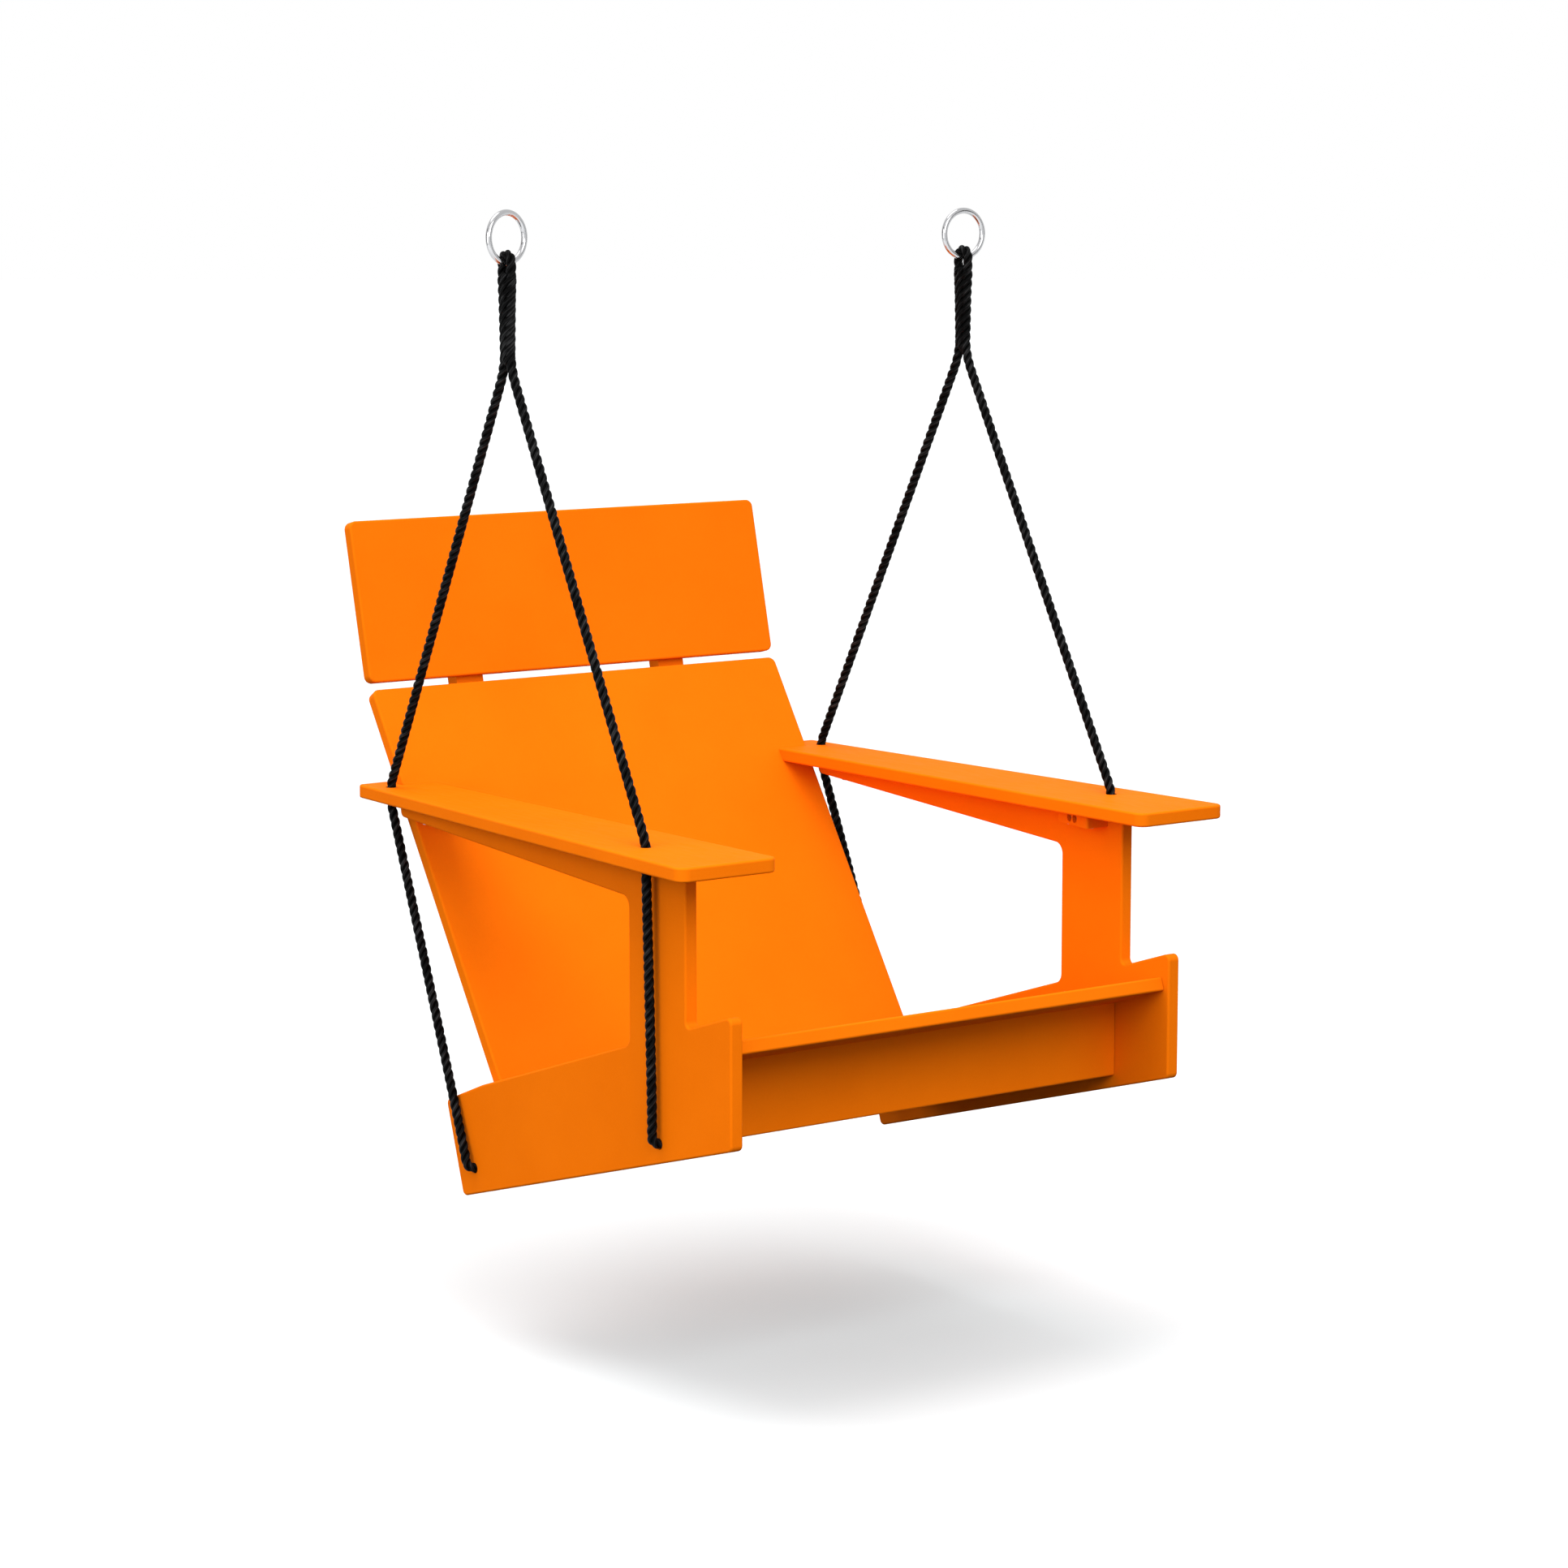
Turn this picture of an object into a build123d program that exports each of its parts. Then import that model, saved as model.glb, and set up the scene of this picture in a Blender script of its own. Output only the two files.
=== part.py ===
from build123d import *
from math import cos, pi, radians, sin, tan
import os

# Hanging lounge chair: a board chair carried by one rope on each side, each rope looped over a
# steel ring.  Lengths in millimetres, angles in degrees.
#
# While it is being built the chair sits centred on X = 0, its front towards -Y, the rings in the
# plane Y = 0 and the underside of the armrests at Z = 0.  On export every piece is moved so that
# the origin is the point where the left ring hangs on its hook.

# ------------------------------------------------------------------ driving dimensions
BOARD = 16.0              # thickness of the plastic sheet every board is cut from
EASE = 2.6                # round-over along the edges of the boards
CLEAR = 1.0               # side clearance of a board that drops in between the panels

INSIDE_WIDTH = 600.0      # between the two side panels

# side panel, seen from the side (Y, Z)
TOE_FRONT_Y = -411.0      # front of the toe, the front end of the lower beam
TOE_TOP_Z = -149.0        # top of the beam at the toe
TOE_BOTTOM_Z = -295.0     # bottom of the beam at the toe
SEAT_SLOPE = 18.0         # the seat and the beam's top edge drop to the rear
BEAM_BOTTOM_SLOPE = 16.05
POST_FRONT_Y = -327.6
WINDOW_FRONT_Y = -220.0   # rear edge of the post
WEB_FRONT_DEPTH = 47.0    # depth of the web under the armrest, at the post
WEB_SLOPE = 3.6           # its lower edge rises to the rear
WEB_REAR_Y = 255.0
BEND_Y = 84.0             # where the beam's top edge turns down, behind the backboard
REAR_TOP = (161.0, -340.5)
CORNER_R = 13.0           # inner corners of the window
NOTCH_R = 6.0             # inner corner between the toe and the post
TIP_R = 7.0               # outer corners of the panel

# armrest, seen from above (X, Y)
ARM_FRONT_Y = -413.0
ARM_REAR_Y = 318.0
ARM_INNER_OVERHANG = 46.5  # its straight inner edge, from the panel's inner face
ARM_FRONT_OVERHANG = 66.0  # its outer edge, from the panel's outer face, tapers in to the rear
ARM_REAR_OVERHANG = 20.5
ARM_CORNER_R = 13.0
NOTCH_GAP = 0.6           # between an armrest and the backboard that passes through its notch

# seat board and front apron
SEAT_FRONT_Y = -399.0     # top front edge of the seat board
SEAT_FRONT_Z = -178.0
APRON_FRONT_Y = -319.0
APRON_BOTTOM_Z = -307.5

# backboard and headrest, both 2.5 narrower on each side than the space between the panels
BACK_SIDE_GAP = 2.5
BACK_ANGLE = 57.2         # from the horizontal
BACK_TOP = (347.6, 123.2)  # top edge of the front face (Y, Z)
BACK_LENGTH = 616.0
HEAD_ANGLE = 76.8
HEAD_BOTTOM = (350.4, 131.0)  # bottom edge of the front face (Y, Z)
HEAD_LENGTH = 195.5
BACK_CORNER_R = 9.0

# ribs that join the headrest to the backboard
RIB_X = 149.0
RIB_WIDTH = 38.0
RIB_DEPTH = 20.0
RIB_DOWN = 175.0          # length along the backboard
RIB_UP = 145.0            # length along the headrest

# square cleats in the corners between the panels and the other boards
CLEAT = 20.0
CLEAT_GAP = 3.0           # between the apron cleats' screw heads and the seat cleats
SEAT_CLEAT_END_GAP = 26.0  # between the seat cleats and the backboard
BACK_CLEAT_UP = (10.0, 92.0)  # from the backboard's lower edge
SCREW_INSET = 14.0        # a cleat's end to its nearest screw
SCREW_OFFSET = 9.0        # the apron cleats' two screws, above and below the middle
ARM_CLEAT_Y = (-302.0, -236.0)
ARM_CLEAT_WIDTH = (32.0, 20.0)  # at its front and at its rear

# screws
SHANK_R = 2.25
HEAD_R = 4.5
HEAD_H = 2.6
SCREW = 29.0              # length under the head, cleats and ribs
SCREW_SHORT = 25.0        # upwards through the armrest cleats
ARM_SIDE_SINK = 8.0       # how deep the heads of the armrest cleats' side screws are sunk
DRILL_GAP = 0.1

# rope and ring
ROPE_D = 10.0
ROPE_HOLE_GAP = 1.3       # round the rope in its holes
RING_STANDOFF = 7.7       # middle of the rope's doubled part, from the panel's outer face
WIRE_D = 7.0
RING_OUTER_D = 62.0
RING_BOTTOM_WIRE_Z = 634.0  # centre of the wire where the rope passes over it
EYE_GAP = 0.4             # between the wire and the rope round it
RING_TURN = {"left": 12.0, "right": -4.0}  # how each ring is turned about the vertical
ARM_HOLE_FRONT_OUT, ARM_HOLE_FRONT_Y = 13.4, -274.0   # from the panel's outer face, and along Y
ARM_HOLE_REAR_OUT, ARM_HOLE_REAR_Y = 1.3, 274.0
LOW_HOLE_FRONT = (-277.0, -311.0)   # (Y, Z) in the panel
LOW_HOLE_REAR = (100.0, -411.0)
LOW_GAP = 3.0             # between the rope and the panel's face where it turns into the hole
STEM_GAP = 0.8            # between the two ropes of the doubled part
SPLIT_Z = 520.0           # where the doubled part divides into two legs
SPLICE_BOTTOM_Z = 524.0
SPLICE_TOP_Z = 622.0
LOW_BEND_R = 10.0
HOLE_BEND_R = 12.0
SPREAD_Z = 562.0          # where the doubled part starts to widen towards the ring
EYE_LEG_Z = 620.0         # where it is as wide as the eye
SPLIT_BEND_R = 24.0
SPREAD_BEND_R = 90.0
KNOT_OVER = 7.0           # how far a knot stands out round the rope
KNOT_RISE = {"front": 3.5, "rear": 0.0}  # knot centre above its hole, so that the apron hides the front one
KNOT_IN = 10.0            # knot centre to the face it bears on
KNOT_TAIL = 36.0
KNOT_CLEAR = 7.0          # from the top of a knot that sits level with its hole to the apron cleat

# ------------------------------------------------------------------ derived values
PANEL_IN = INSIDE_WIDTH / 2
PANEL_OUT = PANEL_IN + BOARD
BACK_HALF = PANEL_IN - BACK_SIDE_GAP
ARM_INNER_X = PANEL_IN - ARM_INNER_OVERHANG
ARM_FRONT_OUTER_X = PANEL_OUT + ARM_FRONT_OVERHANG
ARM_REAR_OUTER_X = PANEL_OUT + ARM_REAR_OVERHANG
ROPE_R = ROPE_D / 2
ROPE_HOLE_R = ROPE_R + ROPE_HOLE_GAP
RING_X = PANEL_OUT + RING_STANDOFF             # half the distance between the two rings
ARM_HOLE_FRONT = (PANEL_OUT + ARM_HOLE_FRONT_OUT, ARM_HOLE_FRONT_Y)
ARM_HOLE_REAR = (PANEL_OUT + ARM_HOLE_REAR_OUT, ARM_HOLE_REAR_Y)
LOW_STANDOFF = ROPE_R + LOW_GAP
KNOT_R = ROPE_R + KNOT_OVER
STEM_HALF_GAP = ROPE_R + STEM_GAP / 2          # rope centre to the middle of the doubled part
RING_R = (RING_OUTER_D - WIRE_D) / 2
RING_CENTRE_Z = RING_BOTTOM_WIRE_Z + RING_R
HANG_Z = RING_CENTRE_Z + RING_R - WIRE_D / 2   # inside of the ring's top, where a hook bears
EYE_R = WIRE_D / 2 + EYE_GAP + ROPE_R

seat_dir = Vector(0, cos(radians(SEAT_SLOPE)), -sin(radians(SEAT_SLOPE)))
seat_up = Vector(0, sin(radians(SEAT_SLOPE)), cos(radians(SEAT_SLOPE)))
back_up = Vector(0, cos(radians(BACK_ANGLE)), sin(radians(BACK_ANGLE)))
back_front = Vector(0, -sin(radians(BACK_ANGLE)), cos(radians(BACK_ANGLE)))
head_up = Vector(0, cos(radians(HEAD_ANGLE)), sin(radians(HEAD_ANGLE)))
head_front = Vector(0, -sin(radians(HEAD_ANGLE)), cos(radians(HEAD_ANGLE)))
X = Vector(1, 0, 0)

seat_plane = Plane(origin=(0, SEAT_FRONT_Y, SEAT_FRONT_Z), x_dir=X, z_dir=seat_up)
back_plane = Plane(origin=(0, *BACK_TOP), x_dir=X, z_dir=back_front)
head_plane = Plane(origin=(0, *HEAD_BOTTOM), x_dir=X, z_dir=head_front)
BIG = 2000.0


def beam_top(y):
    return TOE_TOP_Z - tan(radians(SEAT_SLOPE)) * (y - TOE_FRONT_Y)


def beam_bottom(y):
    return TOE_BOTTOM_Z - tan(radians(BEAM_BOTTOM_SLOPE)) * (y - TOE_FRONT_Y)


def web_bottom(y):
    return -WEB_FRONT_DEPTH + tan(radians(WEB_SLOPE)) * (y - WINDOW_FRONT_Y)


def ease(solid, normal, radius=EASE):
    """Round over the outline of a board on both of its faces."""
    faces = solid.faces().sort_by(Axis(solid.center(), normal))
    edges = ShapeList([*faces[0].edges(), *faces[-1].edges()])
    return fillet(edges, radius)


def half_space(plane, above=True):
    """A large block on one side of a plane."""
    block = Box(BIG, BIG, BIG, align=(Align.CENTER, Align.CENTER, Align.MIN if above else Align.MAX))
    return plane * block


def shift(plane, distance):
    """The same plane moved along its normal."""
    return Plane(origin=plane.origin + plane.z_dir * distance, x_dir=plane.x_dir, z_dir=plane.z_dir)


def rod(start, direction, length, radius):
    """A cylinder from a point along a direction."""
    return Plane(origin=start, z_dir=direction) * Cylinder(
        radius, length, align=(Align.CENTER, Align.CENTER, Align.MIN))


def mirrored(shape, side):
    """Pieces are drawn on the right (+X) and mirrored for the left."""
    return shape if side > 0 else mirror(shape, about=Plane.YZ)


SIDES = {"left": -1, "right": 1}
nodes = {}

# ------------------------------------------------------------------ where the screws go
# each is (point under the head, direction into the board, length)
screws = {"cleat_screws": [], "arm_cleat_screws": [], "arm_side_screws": [], "arm_web_screws": [],
          "arm_end_screws": [], "rib_screws": []}


def add_screw(group, point, direction, length):
    screws[group].append((Vector(*point), Vector(*direction).normalized(), length))


def seat_point(x, along, down):
    """A point in the seat's own frame: along it to the rear and down from its top face."""
    return seat_plane.origin + X * x + seat_dir * along - seat_up * down


def back_point(x, up, behind):
    """A point in the backboard's own frame: up from its lower edge and behind its front face."""
    return back_plane.origin + X * x - back_up * (BACK_LENGTH - up) - back_front * behind


def head_point(x, up, behind):
    return head_plane.origin + X * x + head_up * up - head_front * behind


CLEAT_X = PANEL_IN - CLEAT / 2        # middle of a cleat
APRON_REAR_Y = APRON_FRONT_Y + BOARD
# the seat cleat starts behind the apron cleat, its lower front corner being the foremost
seat_cleat_start = (APRON_REAR_Y + CLEAT + HEAD_H + CLEAT_GAP - SEAT_FRONT_Y) / cos(radians(SEAT_SLOPE)) + (
    BOARD + CLEAT) * tan(radians(SEAT_SLOPE))
seat_depth = ((BACK_TOP[1] - SEAT_FRONT_Z) * cos(radians(BACK_ANGLE)) -
              (BACK_TOP[0] - SEAT_FRONT_Y) * sin(radians(BACK_ANGLE))) / -sin(
                  radians(BACK_ANGLE + SEAT_SLOPE))
seat_cleat_end = seat_depth - SEAT_CLEAT_END_GAP
back_cleat_low, back_cleat_high = BACK_CLEAT_UP
apron_cleat_low = LOW_HOLE_FRONT[1] + KNOT_R + KNOT_CLEAR
apron_cleat_high = SEAT_FRONT_Z - tan(radians(SEAT_SLOPE)) * (
    APRON_REAR_Y + CLEAT - SEAT_FRONT_Y) - BOARD / cos(radians(SEAT_SLOPE)) - 1

seat_cleat_len = seat_cleat_end - seat_cleat_start
for k in range(3):
    along = seat_cleat_start + seat_cleat_len * (0.1 + 0.36 * k)
    add_screw("cleat_screws", seat_point(PANEL_IN - CLEAT, along, BOARD + CLEAT / 2), X, SCREW)
    along += seat_cleat_len * 0.1
    add_screw("cleat_screws", seat_point(CLEAT_X, along, BOARD + CLEAT), seat_up, SCREW)
for end, inward in ((back_cleat_low, 1), (back_cleat_high, -1)):
    up = end + inward * SCREW_INSET
    add_screw("cleat_screws", back_point(PANEL_IN - CLEAT, up, BOARD + CLEAT / 2), X, SCREW)
    up += inward * SCREW_INSET
    add_screw("cleat_screws", back_point(CLEAT_X, up, BOARD + CLEAT), back_front, SCREW)
apron_mid = (apron_cleat_low + apron_cleat_high) / 2
add_screw("cleat_screws", (PANEL_IN - CLEAT, APRON_REAR_Y + CLEAT / 2, apron_mid - SCREW_OFFSET), X, SCREW)
add_screw("cleat_screws", (CLEAT_X, APRON_REAR_Y + CLEAT, apron_mid + SCREW_OFFSET), (0, -1, 0), SCREW)

rib_back_ups = (BACK_LENGTH - RIB_DOWN + 22, BACK_LENGTH - RIB_DOWN / 2, BACK_LENGTH - 20)
rib_head_ups = (22, RIB_UP - 22)
for up in rib_back_ups:
    add_screw("rib_screws", back_point(RIB_X, up, BOARD + RIB_DEPTH), back_front, SCREW)
for up in rib_head_ups:
    add_screw("rib_screws", head_point(RIB_X, up, BOARD + RIB_DEPTH), head_front, SCREW)

arm_cleat_len = ARM_CLEAT_Y[1] - ARM_CLEAT_Y[0]


def arm_cleat_width(y):
    t = (y - ARM_CLEAT_Y[0]) / arm_cleat_len
    return ARM_CLEAT_WIDTH[0] + t * (ARM_CLEAT_WIDTH[1] - ARM_CLEAT_WIDTH[0])


for t in (0.2, 0.8):
    y = ARM_CLEAT_Y[0] + t * arm_cleat_len
    add_screw("arm_cleat_screws", (PANEL_IN - arm_cleat_width(y) / 2, y, -BOARD), (0, 0, 1), SCREW_SHORT)
for t in (0.42, 0.6):
    y = ARM_CLEAT_Y[0] + t * arm_cleat_len
    seat_x = PANEL_IN - arm_cleat_width(y) + ARM_SIDE_SINK
    add_screw("arm_side_screws", (seat_x, y, -BOARD / 2), X, SCREW)
WEB_SEAT_Z = -19.0
for y in (WEB_REAR_Y - 45, WEB_REAR_Y - 135):
    add_screw("arm_web_screws", (PANEL_IN + BOARD / 2, y, WEB_SEAT_Z), (0, 0, 1), SCREW)
arm_end_x = (ARM_INNER_X + BACK_HALF) / 2
arm_end_y = BACK_TOP[0] - (BACK_TOP[1] - BOARD / 2) / tan(radians(BACK_ANGLE)) + BOARD / sin(
    radians(BACK_ANGLE))
ARM_END_SEAT_Y = arm_end_y - (HEAD_R + 2.0) / tan(radians(BACK_ANGLE))
add_screw("arm_end_screws", (arm_end_x, ARM_END_SEAT_Y, BOARD / 2), (0, -1, 0), SCREW)


def drill(solid, *groups):
    """Take the screws' holes out of a right-hand piece."""
    for group in groups:
        for point, direction, length in screws[group]:
            hole = rod(point - direction * 0.01, direction, length + 0.5, SHANK_R + DRILL_GAP)
            solid = solid - hole
    return solid


def drill_both(solid, *groups):
    """Take both sides' screw holes out of a board that spans the chair."""
    for group in groups:
        for point, direction, length in screws[group]:
            hole = rod(point - direction * 0.01, direction, length + 0.5, SHANK_R + DRILL_GAP)
            solid = solid - hole - mirror(hole, about=Plane.YZ)
    return solid


# ------------------------------------------------------------------ side panels
outline = [
    (TOE_FRONT_Y, TOE_TOP_Z), (POST_FRONT_Y, beam_top(POST_FRONT_Y)), (POST_FRONT_Y, 0),
    (WEB_REAR_Y + 2.5, 0), (WEB_REAR_Y, web_bottom(WEB_REAR_Y)), (WINDOW_FRONT_Y, web_bottom(WINDOW_FRONT_Y)),
    (WINDOW_FRONT_Y, beam_top(WINDOW_FRONT_Y)), (BEND_Y, beam_top(BEND_Y)), REAR_TOP]
# the rear end is square to the beam's top edge, and meets the beam's bottom edge at REAR_BOTTOM
square = tan(radians(90 - SEAT_SLOPE))
under = tan(radians(BEAM_BOTTOM_SLOPE))
rear_bottom_y = (beam_bottom(0) - REAR_TOP[1] + square * REAR_TOP[0]) / (square + under)
REAR_BOTTOM = (rear_bottom_y, beam_bottom(rear_bottom_y))
outline += [REAR_BOTTOM, (TOE_FRONT_Y, TOE_BOTTOM_Z)]
corner_radii = [TIP_R, NOTCH_R, 0, 0, TIP_R, CORNER_R, CORNER_R, 60.0, TIP_R, TIP_R, TIP_R]

profile = make_face(Polyline(*outline, close=True))
for (py, pz), radius in zip(outline, corner_radii):
    if radius:
        vertex = profile.vertices().sort_by_distance((py, pz, 0))[0]
        profile = fillet(vertex, radius)
panel = extrude(Plane.YZ.offset(PANEL_IN) * profile, BOARD)
outer_edges = ShapeList([e for f in (panel.faces().sort_by(Axis.X)[0], panel.faces().sort_by(Axis.X)[-1])
                         for e in f.edges() if e.center().Z < -0.1])
panel = fillet(outer_edges, EASE)
for y, z in (LOW_HOLE_FRONT, LOW_HOLE_REAR):
    panel = panel - rod((PANEL_IN - 1, y, z), X, BOARD + 2, ROPE_HOLE_R)
panel = drill(panel, "cleat_screws", "arm_side_screws", "arm_web_screws")
for point, direction, length in screws["arm_web_screws"]:
    panel = panel - rod(point, -direction, 60, HEAD_R + 0.6)
for name, side in SIDES.items():
    nodes["side_panel_" + name] = mirrored(panel, side)

# ------------------------------------------------------------------ armrests
arm_outline = [(ARM_INNER_X, ARM_FRONT_Y), (ARM_FRONT_OUTER_X, ARM_FRONT_Y), (ARM_REAR_OUTER_X, ARM_REAR_Y),
               (ARM_INNER_X, ARM_REAR_Y)]
arm_face = make_face(Polyline(*arm_outline, close=True))
for (px, py), radius in zip(arm_outline, (ARM_CORNER_R, ARM_CORNER_R, ARM_CORNER_R / 2, 0)):
    if radius:
        arm_face = fillet(arm_face.vertices().sort_by_distance((px, py, 0))[0], radius)
arm = ease(extrude(arm_face, BOARD), Vector(0, 0, 1))
# notch round the backboard: the inner part of the armrest ends on the backboard's front face
notch = half_space(shift(back_plane, NOTCH_GAP), above=False) & Pos(0, 0, 0) * Box(
    2 * (BACK_HALF + NOTCH_GAP), BIG, 4 * BOARD)
arm = arm - notch
for x, y in (ARM_HOLE_FRONT, ARM_HOLE_REAR):
    arm = arm - rod((x, y, -1), (0, 0, 1), BOARD + 2, ROPE_HOLE_R)
arm = drill(arm, "arm_cleat_screws", "arm_web_screws", "arm_end_screws")
for name, side in SIDES.items():
    nodes["armrest_" + name] = mirrored(arm, side)

# ------------------------------------------------------------------ seat board and apron
seat_half = PANEL_IN - CLEAR
SPARE = 40.0              # the seat is drawn this much longer, then cut to the backboard's slope
seat = extrude(seat_plane * Pos(0, (seat_depth + SPARE) / 2, 0) * Rectangle(
    2 * seat_half, seat_depth + SPARE), -BOARD)
seat = seat - half_space(shift(back_plane, 0), above=False)
front_edges = seat.edges().filter_by(Axis.X).sort_by(Axis.Y)[:2]
seat = fillet(front_edges, EASE)
nodes["seat_board"] = drill_both(seat, "cleat_screws")

apron = Pos(0, APRON_FRONT_Y + BOARD / 2, (SEAT_FRONT_Z + APRON_BOTTOM_Z) / 2) * Box(
    2 * seat_half, BOARD, SEAT_FRONT_Z - APRON_BOTTOM_Z)
apron = apron - half_space(shift(seat_plane, -BOARD))
apron = fillet(apron.edges().filter_by(Axis.X).sort_by(Axis.Z)[:2], EASE)
nodes["front_apron"] = drill_both(apron, "cleat_screws")

# ------------------------------------------------------------------ backboard and headrest
back_face = back_plane * Pos(0, -BACK_LENGTH / 2, 0) * RectangleRounded(
    2 * BACK_HALF, BACK_LENGTH, BACK_CORNER_R)
back = ease(extrude(back_face, -BOARD), back_front)
back = drill_both(back, "cleat_screws", "rib_screws", "arm_end_screws")
for point, direction, length in screws["arm_end_screws"]:
    pocket = rod(point, -direction, 30, HEAD_R + 0.6)
    back = back - pocket - mirror(pocket, about=Plane.YZ)
nodes["backboard"] = back

head_face = head_plane * Pos(0, HEAD_LENGTH / 2, 0) * RectangleRounded(
    2 * BACK_HALF, HEAD_LENGTH, BACK_CORNER_R)
head = ease(extrude(head_face, -BOARD), head_front)
nodes["headrest"] = drill_both(head, "rib_screws")

# ------------------------------------------------------------------ ribs behind the two boards
back_line = back_point(0, BACK_LENGTH, BOARD)
head_line = head_point(0, 0, BOARD)
det = back_up.Y * head_up.Z - back_up.Z * head_up.Y
reach = ((head_line.Y - back_line.Y) * head_up.Z - (head_line.Z - back_line.Z) * head_up.Y) / det
knee = back_line + back_up * reach
low = back_point(0, BACK_LENGTH - RIB_DOWN, BOARD)
high = head_point(0, RIB_UP, BOARD)
half_turn = radians((HEAD_ANGLE - BACK_ANGLE) / 2)
bisector = (back_front + head_front).normalized()
knee_back = knee - bisector * (RIB_DEPTH / cos(half_turn))
rib_points = [low, knee, high, high - head_front * RIB_DEPTH, knee_back, low - back_front * RIB_DEPTH]
rib_face = make_face(Polyline(*[(p.Y, p.Z) for p in rib_points], close=True))
for p in (rib_points[3], rib_points[5]):
    rib_face = fillet(rib_face.vertices().sort_by_distance((p.Y, p.Z, 0))[0], 6)
rib_face = fillet(rib_face.vertices().sort_by_distance((knee_back.Y, knee_back.Z, 0))[0], 30)
rib = extrude(Plane.YZ.offset(RIB_X - RIB_WIDTH / 2) * rib_face, RIB_WIDTH)
rib = drill(rib, "rib_screws")
for name, side in SIDES.items():
    nodes["back_rib_" + name] = mirrored(rib, side)

# ------------------------------------------------------------------ cleats
seat_cleat = Box(CLEAT, seat_cleat_len, CLEAT)
seat_cleat = seat_plane * Pos(CLEAT_X, seat_cleat_start + seat_cleat_len / 2, -BOARD - CLEAT / 2) * seat_cleat
back_cleat_mid = (back_cleat_low + back_cleat_high) / 2
back_cleat = back_plane * Pos(CLEAT_X, back_cleat_mid - BACK_LENGTH, -BOARD - CLEAT / 2) * Box(
    CLEAT, back_cleat_high - back_cleat_low, CLEAT)
apron_cleat = Pos(CLEAT_X, APRON_REAR_Y + CLEAT / 2, (apron_cleat_low + apron_cleat_high) / 2) * Box(
    CLEAT, CLEAT, apron_cleat_high - apron_cleat_low)
arm_cleat = extrude(make_face(Polyline(
    (PANEL_IN, ARM_CLEAT_Y[0]), (PANEL_IN, ARM_CLEAT_Y[1]), (PANEL_IN - ARM_CLEAT_WIDTH[1], ARM_CLEAT_Y[1]),
    (PANEL_IN - ARM_CLEAT_WIDTH[0], ARM_CLEAT_Y[0]), close=True)), -BOARD)
arm_cleat = fillet(arm_cleat.edges().filter_by(Axis.Z).sort_by(Axis.X)[:2], 3)
arm_cleat = drill(arm_cleat, "arm_cleat_screws", "arm_side_screws")
for point, direction, length in screws["arm_side_screws"]:
    arm_cleat = arm_cleat - rod(point, -direction, 20, HEAD_R + 0.4)
for label, cleat in (("seat_cleat_", seat_cleat), ("back_cleat_", back_cleat), ("apron_cleat_", apron_cleat)):
    cleat = drill(cleat, "cleat_screws")
    for name, side in SIDES.items():
        nodes[label + name] = mirrored(cleat, side)
for name, side in SIDES.items():
    nodes["arm_cleat_" + name] = mirrored(arm_cleat, side)


# ------------------------------------------------------------------ screws
def screw(point, direction, length):
    head = rod(point, -direction, HEAD_H, HEAD_R)
    head = fillet(head.edges().sort_by(Axis(point, -direction))[-1], HEAD_H * 0.6)
    shank = rod(point - direction * 0.5, direction, length + 0.5 - SHANK_R, SHANK_R)
    tip = Plane(origin=point + direction * (length - SHANK_R), z_dir=direction) * Cone(
        SHANK_R, 0.5, SHANK_R, align=(Align.CENTER, Align.CENTER, Align.MIN))
    return head + shank + tip


for group, places in screws.items():
    solids = []
    for place in places:
        one = screw(*place)
        solids += [one, mirror(one, about=Plane.YZ)]
    nodes[group] = Compound(children=[s.solid() if hasattr(s, "solid") else s for s in solids])


# ------------------------------------------------------------------ ropes
def rope_route():
    """Corners of the rope's centre line on the right side, from the front knot to the rear knot."""
    low_x = PANEL_OUT + LOW_STANDOFF
    lift = 3.0
    y_f, z_f = LOW_HOLE_FRONT
    y_r, z_r = LOW_HOLE_REAR
    front = [
        ((PANEL_IN, y_f, z_f), 0),
        ((low_x, y_f, z_f), LOW_BEND_R),
        ((ARM_HOLE_FRONT[0], ARM_HOLE_FRONT[1], -lift), HOLE_BEND_R),
        ((ARM_HOLE_FRONT[0], ARM_HOLE_FRONT[1], BOARD + lift), HOLE_BEND_R),
        ((RING_X, -STEM_HALF_GAP, SPLIT_Z), SPLIT_BEND_R),
        ((RING_X, -STEM_HALF_GAP, SPREAD_Z), SPREAD_BEND_R),
        ((RING_X, -EYE_R, EYE_LEG_Z), SPREAD_BEND_R),
        ((RING_X, -EYE_R, RING_BOTTOM_WIRE_Z), 0)]
    rear = [
        ((RING_X, EYE_R, RING_BOTTOM_WIRE_Z), 0),
        ((RING_X, EYE_R, EYE_LEG_Z), SPREAD_BEND_R),
        ((RING_X, STEM_HALF_GAP, SPREAD_Z), SPREAD_BEND_R),
        ((RING_X, STEM_HALF_GAP, SPLIT_Z), SPLIT_BEND_R),
        ((ARM_HOLE_REAR[0], ARM_HOLE_REAR[1], BOARD + lift), HOLE_BEND_R),
        ((ARM_HOLE_REAR[0], ARM_HOLE_REAR[1], -lift), HOLE_BEND_R),
        ((low_x, y_r, z_r), LOW_BEND_R),
        ((PANEL_IN, y_r, z_r), 0)]
    return front, rear


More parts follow.
